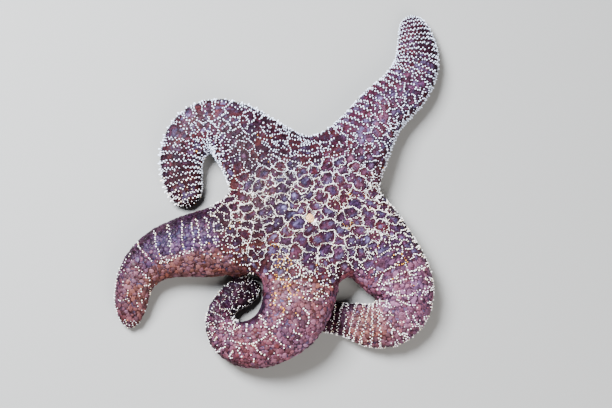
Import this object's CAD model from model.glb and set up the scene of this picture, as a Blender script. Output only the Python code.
import math

import bmesh
import bpy
import numpy as np
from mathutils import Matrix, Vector
from mathutils.bvhtree import BVHTree
from mathutils.geometry import delaunay_2d_cdt
from mathutils.kdtree import KDTree


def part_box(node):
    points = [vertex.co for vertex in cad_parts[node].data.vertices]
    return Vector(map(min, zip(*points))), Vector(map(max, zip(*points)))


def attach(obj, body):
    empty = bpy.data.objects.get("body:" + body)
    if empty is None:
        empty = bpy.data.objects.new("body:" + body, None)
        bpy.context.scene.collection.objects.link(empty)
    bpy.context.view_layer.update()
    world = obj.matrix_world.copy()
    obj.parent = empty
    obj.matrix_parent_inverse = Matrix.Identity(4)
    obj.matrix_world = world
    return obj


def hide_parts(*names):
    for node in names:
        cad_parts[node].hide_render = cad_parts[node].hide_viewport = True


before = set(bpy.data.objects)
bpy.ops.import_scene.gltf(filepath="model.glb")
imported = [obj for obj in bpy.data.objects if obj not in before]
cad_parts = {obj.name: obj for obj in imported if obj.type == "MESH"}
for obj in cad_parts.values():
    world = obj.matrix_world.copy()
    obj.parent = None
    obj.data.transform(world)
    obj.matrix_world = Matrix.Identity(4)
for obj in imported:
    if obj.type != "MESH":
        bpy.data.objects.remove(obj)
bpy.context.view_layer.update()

mm = 0.001  # lengths stay in millimetres until a mesh is written
chance = np.random.default_rng(11)

# How the arms run. Each bend is (length, turn, half width, top level, foot level) as it ends.
bodyPlan = {
    "sampleStep": 0.5,
    "rootStation": 56,  # where an arm leaves the disc
    "bellyShare": 0.4,  # level of the widest line, as a share of the thickness
    "footShare": 0.68,
    "backPower": 2.15,
    "tightestBend": 0.93,
    "bendWindow": 6,
    "atMouth": (26, 24, 0),
    "sieveDistance": 11.8,
    "sieveBearing": 295,
}
armBends = {
    "northEast": (39, [
        (46, 20, 23.5, 25.5, 0), (27.5, -1, 18, 22, 0), (22, -16, 16.6, 20, 0), (19, 21, 15.6, 18, 0),
        (18, 28, 14, 15, 0), (18, 9, 10.5, 11, 0), (11, 0, 7.5, 8, 0),
    ]),
    "northWest": (122, [
        (42, 9, 26.5, 26, 0), (15, 4, 23.2, 25, 0), (14.5, 18, 20.5, 24, 0), (15, 43, 18.3, 22, 0),
        (15, 48, 15.8, 19, 0), (15.5, 28, 13.8, 16, 0), (12.5, 14, 12.5, 13, 0), (14.5, 8, 9, 9, 0),
    ]),
    "west": (208, [
        (44, -10, 24.5, 27, 0), (22.5, -11, 21.7, 26, 0), (18.5, 9, 18.5, 23, 0), (17, 28, 15, 20, 0),
        (15.5, 33, 12.2, 17, 0), (12, 12, 10.6, 13.5, 0), (14, -3, 6.5, 8, 0),
    ]),
    "south": (269, [
        (42, 1, 24, 27, 4), (17.5, -13, 22.8, 28.5, 9.5), (15.5, -26, 20.8, 28.5, 10),
        (13, -24, 18.2, 26, 8), (12, -28, 16.4, 23, 2.5), (12.5, -32, 13.8, 19, 0), (14, -50, 9.6, 15, 0),
        (10.5, -45, 8.8, 12.5, 0), (10.5, -22, 9.8, 11, 0), (14.5, 2, 9, 7.5, 0),
    ]),
    "east": (348, [
        (40.5, -26, 27.5, 27, 0), (16.5, -13, 24.2, 26, 0), (17, -6, 21.7, 24, 0),
        (14.5, -33, 18.5, 22, 0), (12, -43, 16.4, 20, 0), (11.5, -40, 15.2, 18, 0),
        (12, -26, 13, 15, 0), (11, 8, 11, 11.5, 0), (12, 9, 9.5, 7.5, 0), (12, 0, 7, 5, 0),
    ]),
}
armNames = list(armBends)


def smoothStep(low, high, value):
    x = np.clip((value - low) / (high - low), 0, 1)
    return x * x * (3 - 2 * x)


def mixed(first, second, share):
    return first * (1 - share) + second * share


def alongKnots(knots, s):
    return np.interp(s, [k[0] for k in knots], [k[1] for k in knots])


def findMouth():
    low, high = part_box("sieve_plate")
    bearing = math.radians(bodyPlan["sieveBearing"])
    out = np.array([math.cos(bearing), math.sin(bearing)]) * bodyPlan["sieveDistance"]
    return (np.array(low[:2]) + np.array(high[:2])) / 2 / mm - out


mouth = findMouth()


def layOutArm(name):
    heading, bends = armBends[name]
    table = np.array(bends, float)
    knots = np.concatenate([[0], np.cumsum(table[:, 0])])
    turned = np.radians(heading + np.concatenate([[0], np.cumsum(table[:, 1])]))
    step = bodyPlan["sampleStep"]
    s = np.arange(0, knots[-1], step)
    way = np.interp(s, knots, turned)
    ahead = np.stack([np.cos(way), np.sin(way)], 1)
    place = mouth + np.vstack([[0, 0], np.cumsum((ahead[1:] + ahead[:-1]) / 2 * step, axis=0)])
    sizes = np.vstack([bodyPlan["atMouth"], table[:, 2:]])
    halfWidth, top, foot = (np.interp(s, knots, sizes[:, k]) for k in range(3))
    window = bodyPlan["bendWindow"]
    turn = np.interp(s + window, s, way) - np.interp(s - window, s, way)
    inside = bodyPlan["tightestBend"] * 2 * window / np.maximum(np.abs(turn), 1e-6)
    tight = np.minimum(halfWidth, inside)
    return {
        "s": s, "x": place[:, 0], "y": place[:, 1], "way": way, "top": top, "foot": foot,
        "left": np.where(turn > 0, tight, halfWidth), "right": np.where(turn < 0, tight, halfWidth),
        "length": knots[-1],
    }


arms = [layOutArm(name) for name in armNames]
armLengths = np.array([arm["length"] for arm in arms])


def atStation(arm, s, *keys):
    return [np.interp(s, arm["s"], arm[key]) for key in keys]


def pastRoot(s, before, after):
    # 0 on the disc and 1 out on an arm
    return smoothStep(bodyPlan["rootStation"] - before, bodyPlan["rootStation"] + after, s)


def backGirth(arm, s):
    # length over the back from the middle line to the widest line, on either side
    top, foot, left, right = atStation(arm, s, "top", "foot", "left", "right")
    rise = (1 - bodyPlan["bellyShare"]) * (top - foot)
    return (((left + right) / 2) ** 1.5 + rise ** 1.5) ** (2 / 3)


def armPoints(arm, s, lean):
    # lean is 0 along the back, 1 on the widest line to the left, -1 to the right, 2 under the foot
    x, y, way, top, foot, left, right = atStation(arm, s, "x", "y", "way", "top", "foot", "left", "right")
    belly = foot + bodyPlan["bellyShare"] * (top - foot)
    bend = 2 / bodyPlan["backPower"]
    angle = np.minimum(np.abs(lean), 0.9999) * math.pi / 2
    angle = np.arctan(np.tan(angle) ** (1 / bend))
    under = np.clip(np.abs(lean) - 1, 0, 1) * math.pi / 2
    across = np.sin(angle) ** bend - (1 - bodyPlan["footShare"]) * (1 - np.cos(under))
    level = belly + (top - belly) * np.cos(angle) ** bend - (belly - foot) * np.sin(under)
    side = np.sign(lean) * np.where(lean > 0, left, right) * across
    return np.stack([x - np.sin(way) * side, y + np.cos(way) * side, level], 1)


def chartOf(points):
    # the arm whose oval section each point is nearest to, its station along that arm, and its lean
    rows = np.vstack([
        np.stack([np.full(len(a["s"]), i), np.arange(len(a["s"])), a["x"], a["y"],
                  (a["left"] + a["right"]) / 2, (a["top"] - a["foot"]) / 2, (a["top"] + a["foot"]) / 2], 1)
        for i, a in enumerate(arms)
    ])
    x, y, wide, high, level = rows[:, 2:].T
    across, upward = wide ** -2, high ** -2
    weights = np.stack([across, -2 * across * x, -2 * across * y, upward, -2 * upward * level,
                        across * (x ** 2 + y ** 2) + upward * level ** 2])
    px, py, pz = points.T
    terms = np.stack([px ** 2 + py ** 2, px, py, pz ** 2, pz, np.ones(len(points))], 1)
    parts = np.array_split(terms, len(points) // 4000 + 1)
    near = rows[np.concatenate([(part @ weights).argmin(1) for part in parts])]
    which, sample = near[:, 0].astype(int), near[:, 1].astype(int)
    s, lean = np.zeros(len(points)), np.zeros(len(points))
    for i, arm in enumerate(arms):
        mine = which == i
        row, way = sample[mine], arm["way"][sample[mine]]
        gap = points[mine, :2] - np.stack([arm["x"][row], arm["y"][row]], 1)
        s[mine] = arm["s"][row] + gap[:, 0] * np.cos(way) + gap[:, 1] * np.sin(way)
        side = gap[:, 1] * np.cos(way) - gap[:, 0] * np.sin(way)
        top, foot = arm["top"][row], arm["foot"][row]
        belly = foot + bodyPlan["bellyShare"] * (top - foot)
        width = np.where(side > 0, arm["left"][row], arm["right"][row])
        up = points[mine, 2] - belly
        rise = np.where(up > 0, up / (top - belly), up / (belly - foot))
        lean[mine] = np.sign(side) * np.arctan2(np.abs(side) / width, rise) / (math.pi / 2)
    return which, s, lean


# Mesh helpers, all on arrays of millimetres

def writeMesh(name, points, quads, tris=()):
    mesh = bpy.data.meshes.new(name)
    tris = np.array(tris, np.int32).reshape(-1, 3)
    corners = np.concatenate([quads.ravel(), tris.ravel()]).astype(np.int32)
    starts = np.concatenate([np.arange(len(quads)) * 4, len(quads) * 4 + np.arange(len(tris)) * 3])
    mesh.vertices.add(len(points))
    mesh.vertices.foreach_set("co", (points * mm).astype(np.float32).ravel())
    mesh.loops.add(len(corners))
    mesh.loops.foreach_set("vertex_index", corners)
    mesh.polygons.add(len(starts))
    mesh.polygons.foreach_set("loop_start", starts.astype(np.int32))
    mesh.update(calc_edges=True)
    mesh.shade_smooth()
    piece = bpy.data.objects.new(name, mesh)
    bpy.context.scene.collection.objects.link(piece)
    return piece


def ringFaces(rings, sides):
    # the faces of a stack of rings of points, and the fan that closes its last ring with one point more
    ring, side = np.meshgrid(np.arange(rings - 1), np.arange(sides), indexing="ij")
    after = (side + 1) % sides
    quads = np.stack([ring * sides + side, ring * sides + after,
                      (ring + 1) * sides + after, (ring + 1) * sides + side], -1).reshape(-1, 4)
    last, around = (rings - 1) * sides, np.arange(sides)
    fan = np.stack([last + around, last + (around + 1) % sides, np.full(sides, rings * sides)], -1)
    return quads, fan


def mapPoints(piece, uv, quads, tris):
    layer = piece.data.uv_layers.new(name="OFBake")
    layer.data.foreach_set("uv", uv[np.concatenate([quads.ravel(), tris.ravel()])].ravel())


def paintPoints(piece, tone):
    layer = piece.data.color_attributes.new("tone", "FLOAT_COLOR", "POINT")
    rgba = np.concatenate([tone, np.ones((len(tone), 1))], 1).astype(np.float32)
    layer.data.foreach_set("color", rgba.ravel())


def vertexNormals(points, quads):
    a, b, c, d = (points[quads[:, k]] for k in range(4))
    face = np.cross(c - a, d - b)
    total = np.zeros_like(points)
    for k in range(4):
        for axis in range(3):
            total[:, axis] += np.bincount(quads[:, k], face[:, axis], len(points))
    return total / np.maximum(np.linalg.norm(total, axis=1, keepdims=True), 1e-9)


def smoothOut(points, edges, rounds):
    # every second round gives back what the one before it shrank
    a, b = edges.T
    number = (np.bincount(a, minlength=len(points)) + np.bincount(b, minlength=len(points)))[:, None]
    for share in [0.5, -0.51] * (rounds // 2):
        total = np.stack([
            np.bincount(a, points[b, k], len(points)) + np.bincount(b, points[a, k], len(points))
            for k in range(3)
        ], 1)
        points = points + share * (total / np.maximum(number, 1) - points)
    return points


def treeOf(points):
    tree = KDTree(len(points))
    for i, point in enumerate(points):
        tree.insert(point, i)
    tree.balance()
    return tree


def thinOut(points, room):
    # keeps the earlier of any two points that stand closer than the later one's room
    tree = treeOf(points)
    kept = np.ones(len(points), bool)
    for i, point in enumerate(points):
        if kept[i]:
            for _, other, distance in tree.find_range(point, room.max()):
                if other > i and distance < room[other]:
                    kept[other] = False
    return np.nonzero(kept)[0]


# The skin: one closed surface over the disc and all the arms
skinShape = {
    "seamFill": 0.5,  # how far the flesh solids swell to close their cuts
    "voxel": 1.02,
    "coatDepth": 0.85,
    "smoothRounds": 60,
    "pullSteps": 3,  # the skin is drawn in by its coat's depth in small steps
    "mapAngle": 60,
    "mapMargin": 0.002,
}


def joinFlesh():
    joined = bmesh.new()
    for name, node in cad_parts.items():
        if name == "sieve_plate":
            continue
        solid = bmesh.new()
        solid.from_mesh(node.data)
        bmesh.ops.remove_doubles(solid, verts=solid.verts, dist=1e-6)
        solid.normal_update()
        swollen = [v.co + v.normal * skinShape["seamFill"] * mm for v in solid.verts]
        for vert, place in zip(solid.verts, swollen):
            vert.co = place
        part = bpy.data.meshes.new("part")
        solid.to_mesh(part)
        joined.from_mesh(part)
        bpy.data.meshes.remove(part)
        solid.free()
    mesh = bpy.data.meshes.new("flesh")
    joined.to_mesh(mesh)
    joined.free()
    flesh = bpy.data.objects.new("flesh", mesh)
    bpy.context.scene.collection.objects.link(flesh)
    return flesh


def shapeSkin():
    flesh = joinFlesh()
    remesh = flesh.modifiers.new("remesh", "REMESH")
    remesh.mode = "VOXEL"
    remesh.voxel_size = skinShape["voxel"] * mm
    solid = flesh.evaluated_get(bpy.context.evaluated_depsgraph_get()).to_mesh()
    points = np.zeros(len(solid.vertices) * 3)
    solid.vertices.foreach_get("co", points)
    corners = np.zeros(len(solid.loops), np.int32)
    solid.loops.foreach_get("vertex_index", corners)
    edges = np.zeros(len(solid.edges) * 2, np.int32)
    solid.edges.foreach_get("vertices", edges)
    bpy.data.objects.remove(flesh)
    points, quads, edges = points.reshape(-1, 3) / mm, corners.reshape(-1, 4), edges.reshape(-1, 2)
    points = smoothOut(points, edges, skinShape["smoothRounds"])
    pull = skinShape["seamFill"] + skinShape["coatDepth"]
    for _ in range(skinShape["pullSteps"]):
        points = points - vertexNormals(points, quads) * pull / skinShape["pullSteps"]
        points = smoothOut(points, edges, skinShape["smoothRounds"] // 6)
    return points, quads


# What each arm wears. Knots are (station, value).
# pitch and cell: the length and width of the cells of its net
# keep and links: the share of the net's lines across and along the arm that bear beads
# left and right: how far down each side the spines go, as a lean
# size: half the length of a bead
# spacing and lone: from bead to bead on the net's lines and in the rows that stand alone
# loose: how many small beads are strewn between
# bands: where they stand in double rows across the arm, as (from, to, pitch, inner lean, outer lean)
# pebbled: the station from which pebbles show between the spines
armDress = {
    "northEast": {
        "pitch": [(50, 5), (110, 5.2), (165, 4)], "cell": 6.8, "spacing": 1.4,
        "links": 0.8, "keep": [(0, 0.92)],
        "size": [(50, 0.45), (120, 0.43), (165, 0.37)], "left": [(0, 1.4)], "right": [(0, 1.4)],
        "bands": [(59, 112, 4.6, 0.05, 1.08), (112, 166, 3.8, -1.08, 1.08)], "loose": 300,
    },
    "northWest": {
        "pitch": [(50, 3.9), (110, 4.2)], "cell": 5.8, "spacing": 1.4,
        "links": 0.7, "keep": [(0, 0.9)],
        "size": [(50, 0.46), (150, 0.42)], "left": [(0, 1.4)], "right": [(0, 1.4)],
        "bands": [(78, 102, 4.6, -1.12, -0.1), (102, 148, 4.1, -1.12, 1.12)], "loose": 300,
    },
    "west": {
        "pebbled": 56, "pitch": [(50, 5), (75, 8), (115, 6)], "cell": 7, "spacing": 1.6,
        "links": 0.5, "keep": [(48, 0.9), (60, 0.5), (67, 0.05), (110, 0.05), (120, 0.25)],
        "left": [(40, 1.1), (46, 0.7), (54, 0.36), (80, 0.34), (100, 0.42), (122, 0.9)],
        "right": [(50, 1.2), (58, 0.44), (96, 0.44), (106, 0.7), (114, 1.2)],
        "size": [(50, 0.38), (110, 0.33), (145, 0.25)], "bands": [], "loose": 60, "lone": 1.45,
    },
    "south": {
        "pebbled": 50, "pitch": [(50, 6), (105, 5.5), (120, 3)], "cell": 6, "spacing": 1.5,
        "links": 0.5, "keep": [(44, 0.9), (50, 0.4), (64, 0.12), (105, 0.2), (116, 0.7)],
        "left": [(30, 1.1), (44, 0.8), (56, 0.55), (95, 0.5), (112, 0.8), (125, 1.4)],
        "right": [(30, 1.1), (44, 0.75), (54, 0.5), (80, 0.42), (100, 0.34), (116, 0.45), (128, 1.4)],
        "size": [(50, 0.43), (106, 0.4), (122, 0.3), (140, 0.22)], "bands": [], "loose": 170, "lone": 1.4,
    },
    "east": {
        "pebbled": 74, "pitch": [(50, 5), (85, 5.8), (112, 5), (124, 3)], "cell": 6.5, "spacing": 1.25,
        "links": 0.5, "keep": [(48, 0.95), (76, 0.9), (88, 0.5), (100, 0.35), (120, 0.5)],
        "left": [(0, 1.4)],
        "right": [(30, 1.1), (42, 0.65), (70, 0.45), (105, 0.5), (118, 1.1), (130, 1.4)],
        "size": [(50, 0.4), (108, 0.37), (122, 0.32), (150, 0.27)], "lone": 1.5,
        "bands": [(50, 112, 4.4, 0.6, 1.3), (112, 150, 3.9, -1.2, 1.3)], "loose": 300,
    },
}


# Rows of beads that stand alone on the southern arms
# rings: station, lean at either end, how far the second end lies ahead and how far the middle bows out
# trails: station at either end, lean at either end
loneRows = {
    "west": {
        "rings": [
            (50, 0.05, 0.4, -1, 0), (60, -0.4, 0.05, 0, 0), (66, -0.4, 0.35, -3, 0),
            (70, -0.35, 0.25, 2, 0), (76, -0.4, 0.25, 1, 0), (84, -0.55, 0.3, 3, 0),
            (92, -0.45, 0.25, 4, 0), (99, -0.7, 0.25, 2, 1), (110, -0.1, 0.55, 3, 0),
        ],
        "trails": [
            (42, 66, -0.1, 0.15), (73, 97, 0.25, 0.35), (120, 130, 0.3, 0.45), (104, 140, -0.5, -0.95),
        ],
    },
    "south": {
        "rings": [
            (43, -0.55, 0.05, 0, -5), (47, -0.45, 0.15, -6, 1), (50, 0.15, 0.5, 2, -1),
            (57, -0.2, 0.5, -5, 2), (67, 0.15, 0.4, 6, 0), (71, -0.35, -0.05, 1, 0), (77, 0.15, 0.4, 0, 0),
            (87, -0.55, 0.4, -3, 0), (96, 0.15, 0.45, -4, 0), (105, 0.2, 0.5, -4, 0), (111, -0.4, 0, 1, 1),
            (120, 0.3, 0.6, -4, 0),
        ],
        "trails": [(48, 68, -0.2, -0.1), (56, 71, -0.45, -0.35), (72, 87, -0.1, -0.05), (89, 113, 0, 0.2)],
    },
    "east": {
        "rings": [
            (69, -0.15, 0.25, -1, 1), (78, -0.4, 0.5, -2, 2), (88, -0.35, 0.45, -3, 1),
            (94, 0.05, 0.35, 1, 0), (105, 0.5, 0.9, 0, 0), (109, -0.35, 0.55, -6, 0),
        ],
        "trails": [(43, 64, 0.05, 0.2), (97, 107, -0.45, -0.4), (97, 105, 0.4, 0.55)],
    },
}


def sideReach(dress, s, lean):
    return np.where(lean > 0, alongKnots(dress["left"], s), alongKnots(dress["right"], s))


def reachOf(which, s, lean):
    reach = np.zeros(len(s))
    for i, name in enumerate(armNames):
        mine = which == i
        reach[mine] = sideReach(armDress[name], s[mine], lean[mine])
    return reach


# The net of ridges that carries the spines
netPlan = {
    "discRadius": 70,
    "discTries": 9000,
    "crestMiddle": (7, -7),  # the oval within which the spines are fused into crests, from the mouth
    "crestRadii": (54, 37),
    "crestEdge": (0.86, 1.12),  # where the crests begin and have ended, as shares of the oval
    "discCell": (4.2, 5.4),  # least distance between two cells' middles, at the edge and among the crests
    "cellVariety": (0.72, 1.35),
    "discWide": 1.4,  # the cells of the disc are wider than they are long
    "discMissing": 0.07,  # share of the lines left out, which joins two cells
    "shortest": 0.15,
    "longest": 13,
    "armNetStart": 18,  # under the edge of the disc an arm's own net runs on down its flanks
    "armNetPast": 4,  # it runs on past the tip
    "armNetReach": 1.6,  # how far down it goes, as a share of the back's girth
    "jitter": 0.24,
    "jitterAcross": 0.6,
    "webEye": (0.6, 71),  # the middle of the arcs that follow the corner between the northern arms
    "webArcs": (26, 47),
    "webHalfAngle": 42,
    "webPitch": 3.9,
    "webCell": 6.5,
    "webJitter": 0.7,
    "webLinks": 0.45,  # share of the lines between the arcs that bear beads
}
webEye, webHalf = np.array(netPlan["webEye"]), math.radians(netPlan["webHalfAngle"])
webRadii = np.arange(*netPlan["webArcs"], netPlan["webPitch"])


def webWay(bearings):
    # the way from the eye of the web to each bearing, which is 0 towards the mouth
    return np.stack([np.sin(bearings), -np.cos(bearings)], 1)


def fusedShare(flat):
    out = (flat - np.array(netPlan["crestMiddle"])) / np.array(netPlan["crestRadii"])
    return 1 - smoothStep(*netPlan["crestEdge"], np.hypot(*out.T))


def inWeb(flat):
    out = flat - webEye
    nearest, furthest = netPlan["webArcs"]
    radius = np.hypot(*out.T)
    bearing = np.degrees(np.abs(np.arctan2(out[:, 0], -out[:, 1])))
    return (radius > nearest) & (radius < furthest) & (bearing < netPlan["webHalfAngle"])


def scatterWeb():
    sites = []
    for row, radius in enumerate(webRadii):
        cell = netPlan["webCell"] / radius
        arc = webWay(np.arange(-webHalf, webHalf, cell) + (row % 2) * cell / 2) * radius
        sites.append(arc + webEye + chance.normal(0, netPlan["webJitter"], arc.shape))
    return np.vstack(sites)


def scatterDisc():
    tries = chance.uniform(-netPlan["discRadius"], netPlan["discRadius"], (netPlan["discTries"], 2))
    tries = tries[(np.hypot(*tries.T) < netPlan["discRadius"]) & ~inWeb(tries)]
    flat = np.column_stack([tries[:, 0] / netPlan["discWide"], tries[:, 1], np.zeros(len(tries))])
    room = np.interp(fusedShare(tries), (0, 1), netPlan["discCell"])
    room = room * chance.uniform(*netPlan["cellVariety"], len(flat))
    return np.vstack([scatterWeb(), tries[thinOut(flat, room)]])


def scatterArm(arm, dress):
    # a brick pattern in station and girth, whose long sides run across the arm
    sites = []
    s, row = netPlan["armNetStart"], 0
    while s < arm["length"] + netPlan["armNetPast"]:
        pitch = float(alongKnots(dress["pitch"], s))
        girth = float(backGirth(arm, min(s, arm["length"] - 1))) * netPlan["armNetReach"]
        columns = np.arange(-girth, girth, dress["cell"]) + (row % 2) * dress["cell"] / 2
        shift = chance.normal(0, netPlan["jitter"], (len(columns), 2))
        shift = shift * [pitch, dress["cell"] * netPlan["jitterAcross"]]
        sites.append(np.stack([np.full(len(columns), s), columns], 1) + shift)
        s, row = s + pitch, row + 1
    return np.vstack(sites)


def netLines(sites):
    # the lines between the cells round the sites, as pairs of ends
    corners, _, faces, *_ = delaunay_2d_cdt([Vector(p) for p in sites], [], [], 0, 1e-5)
    corners = np.array([tuple(c) for c in corners])
    faces = np.array([f for f in faces if len(f) == 3])
    (ax, ay), (bx, by), (cx, cy) = (corners[faces[:, k]].T for k in range(3))
    a2, b2, c2 = ax ** 2 + ay ** 2, bx ** 2 + by ** 2, cx ** 2 + cy ** 2
    twice = 2 * (ax * (by - cy) + bx * (cy - ay) + cx * (ay - by))
    middleX = (a2 * (by - cy) + b2 * (cy - ay) + c2 * (ay - by)) / twice
    middleY = (a2 * (cx - bx) + b2 * (ax - cx) + c2 * (bx - ax)) / twice
    middles = np.stack([middleX, middleY], 1)
    beside = {}
    for i, face in enumerate(faces):
        for k in range(3):
            beside.setdefault(tuple(sorted((face[k], face[k - 1]))), []).append(i)
    pairs = np.array([p for p in beside.values() if len(p) == 2])
    lines = middles[pairs]
    length = np.linalg.norm(lines[:, 1] - lines[:, 0], axis=1)
    return lines[(length < netPlan["longest"]) & (length > netPlan["shortest"])]


discSites = scatterDisc()
discLines = netLines(discSites)
armSites = [scatterArm(arm, armDress[name]) for name, arm in zip(armNames, arms)]
armLines = [netLines(sites) for sites in armSites]
print("net:", len(discLines), "lines on the disc and", sum(map(len, armLines)), "on the arms")


def lineDistance(flat, sites):
    # half the difference of the distances to the two nearest sites, and which site is nearest
    tree = treeOf(sites)
    found = [tree.find_n(point, 2) for point in flat]
    near = np.array([[f[0][2], f[1][2]] for f in found])
    return (near[:, 1] - near[:, 0]) / 2, np.array([f[0][1] for f in found])


def netField(points, which, s, lean):
    # how far each skin point lies from the nearest ridge, and a number for the cell it lies in
    plan = np.column_stack([points[:, :2] - mouth, np.zeros(len(points))])
    discGap, discCell = lineDistance(plan, np.column_stack([discSites, np.zeros(len(discSites))]))
    girth = np.zeros(len(s))
    for i, arm in enumerate(arms):
        mine = which == i
        girth[mine] = lean[mine] * backGirth(arm, s[mine])
    apart = 500
    sites = np.vstack([np.column_stack([p, np.full(len(p), i * apart)]) for i, p in enumerate(armSites)])
    armGap, armCell = lineDistance(np.stack([s, girth, which * apart], 1), sites)
    onArm = pastRoot(s, 3, 3)
    return mixed(discGap, armGap, onArm), np.where(onArm > 0.5, armCell + len(discSites), discCell)


# Tones of the skin, as red, green and blue from 0 to 255
skinTones = {
    "wine": (25, 6, 14),
    "grape": (29, 11, 29),
    "burgundy": (62, 21, 42),
    "clay": (92, 57, 48),
    "heather": (94, 62, 84),
    "ink": (40, 33, 62),
    "plum": (43, 21, 35),
    "violet": (23, 12, 23),
    "dusk": (27, 15, 31),
    "lilac": (70, 44, 74),
    "mauve": (76, 44, 56),
    "slate": (50, 43, 72),
    "haze": (99, 94, 135),
    "rose": (79, 41, 46),
    "brown": (72, 40, 36),
    "rust": (72, 29, 26),
    "night": (13, 6, 13),
    "blush": (108, 77, 95),
    "sand": (150, 112, 96),
    "bone": (244, 242, 244),
    "ice": (216, 228, 252),
    "cream": (244, 230, 206),
    "gold": (214, 148, 32),
    "peach": (244, 192, 124),
    "foot": (206, 178, 146),
}


def toneOf(name):
    share = np.array(skinTones[name]) / 255
    return np.where(share < 0.04045, share / 12.92, ((share + 0.055) / 1.055) ** 2.4)


# Ground colour of each arm along its back and down its two sides, from station to station, and the
# leans between which they meet
usualEdge = (0.42, 0.8)
groundPlan = {
    "northEast": {
        "back": [
            (0, "slate"), (40, "heather"), (90, "heather"), (115, "lilac"), (132, "plum"), (165, "dusk"),
        ],
        "left": [(135, "burgundy"), (165, "plum")],
        "right": [(0, "slate"), (40, "heather"), (100, "mauve"), (125, "plum")],
        "leftEdge": (-0.05, 0.25),
    },
    "northWest": {
        "back": [(0, "slate"), (40, "plum"), (62, "plum"), (90, "mauve"), (115, "plum"), (140, "brown")],
        "left": [(110, "brown"), (135, "wine"), (150, "night")],
        "right": [(0, "plum"), (70, "violet"), (100, "dusk"), (120, "plum"), (150, "wine")],
    },
    "west": {
        "back": [
            (0, "slate"), (32, "plum"), (48, "plum"), (64, "ink"), (102, "ink"), (118, "clay"),
            (135, "brown"),
        ],
        "left": [(40, "brown"), (62, "clay"), (124, "clay"), (145, "brown")],
        "right": [(40, "plum"), (54, "grape"), (94, "grape"), (112, "plum"), (145, "brown")],
        "leftEdge": (0.14, 0.4), "rightEdge": (0.08, 0.5),
    },
    "south": {
        "back": [
            (0, "slate"), (38, "lilac"), (50, "clay"), (80, "mauve"), (100, "rose"), (118, "mauve"),
            (128, "plum"), (138, "grape"), (149, "violet"), (155, "night"),
        ],
        "left": [(50, "mauve"), (80, "blush"), (105, "rose"), (122, "plum"), (140, "night")],
        "right": [
            (30, "brown"), (48, "rose"), (62, "plum"), (108, "plum"), (130, "dusk"), (144, "night"),
        ],
        "rightEdge": (0.4, 0.62),
    },
    "east": {
        "back": [
            (0, "slate"), (40, "lilac"), (56, "lilac"), (78, "heather"), (98, "heather"), (116, "clay"),
            (124, "clay"), (134, "plum"),
        ],
        "left": [
            (0, "lilac"), (60, "plum"), (88, "heather"), (108, "heather"), (122, "clay"), (134, "plum"),
        ],
        "right": [
            (20, "brown"), (45, "rose"), (70, "mauve"), (110, "mauve"), (122, "violet"), (135, "night"),
        ],
    },
}


def stripTone(name, strip, s):
    knots = groundPlan[name][strip]
    places, colours = [k[0] for k in knots], np.array([toneOf(k[1]) for k in knots])
    return np.stack([np.interp(s, places, colours[:, c]) for c in range(3)], 1)


def groundTone(which, s, lean):
    tone = np.zeros((len(s), 3))
    for i, name in enumerate(armNames):
        mine = which == i
        station, tilt = s[mine], lean[mine]
        back, left, right = (stripTone(name, strip, station) for strip in ("back", "left", "right"))
        leftEdge, rightEdge = (groundPlan[name].get(key, usualEdge) for key in ("leftEdge", "rightEdge"))
        share = np.where(tilt > 0, smoothStep(*leftEdge, tilt), smoothStep(*rightEdge, -tilt))[:, None]
        tone[mine] = mixed(back, np.where(tilt[:, None] > 0, left, right), share)
    return mixed(tone, toneOf("sand"), smoothStep(1.15, 1.45, np.abs(lean))[:, None])


skinRelief = {
    "ridgeHeight": 0.45,
    "ridgeWidth": 1.0,
    "mound": 0.4,  # how far the middle of a cell swells
    "moundEdge": (0.7, 2.6),  # gap from a ridge at which it starts to swell and is full
    "reachFade": (0.05, 0.12),  # leans over which the net fades out, within and past its reach
    "armLoss": 0.6,  # how much lower the net is out on the arms
    "sunk": 0.25,
    "wrinkle": 0.06,
    "tip": 0.8,  # how much thinner the coat is at the ends of the arms
    "tipStretch": (9, 2),
    "underEdge": (1.3, 1.5),
    "underLoss": 0.6,
}


def raiseSkin(points, quads):
    plan = skinRelief
    which, s, lean = chartOf(points)
    gap, cell = netField(points, which, s, lean)
    reach, (within, past) = reachOf(which, s, lean), plan["reachFade"]
    covered = 1 - smoothStep(reach - within, reach + past, np.abs(lean))
    ridge = np.exp(-(gap / plan["ridgeWidth"]) ** 2) * plan["ridgeHeight"]
    mound = smoothStep(*plan["moundEdge"], gap) * plan["mound"]
    height = covered * (1 - plan["armLoss"] * pastRoot(s, 3, 3)) * (ridge + mound)
    height += chance.normal(0, 1, len(points)) * plan["wrinkle"] - plan["sunk"]
    ends, (first, last) = armLengths[which], plan["tipStretch"]
    height += smoothStep(ends - first, ends - last, s) * plan["tip"]
    height = height * (1 - plan["underLoss"] * smoothStep(*plan["underEdge"], np.abs(lean)))
    fields = {"which": which, "s": s, "lean": lean, "gap": gap, "cell": cell, "covered": covered}
    return points + vertexNormals(points, quads) * height[:, None], fields


def unwrapSkin(skin):
    bpy.context.view_layer.objects.active = skin
    skin.select_set(True)
    skin.data.uv_layers.new(name="OFBake")
    bpy.ops.object.mode_set(mode="EDIT")
    bpy.ops.mesh.select_all(action="SELECT")
    bpy.ops.uv.smart_project(
        angle_limit=math.radians(skinShape["mapAngle"]), island_margin=skinShape["mapMargin"]
    )
    bpy.ops.object.mode_set(mode="OBJECT")
    uv = np.zeros(len(skin.data.loops) * 2)
    skin.data.uv_layers["OFBake"].data.foreach_get("uv", uv)
    return uv.reshape(-1, 4, 2).mean(1)  # the middle of each face


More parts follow.
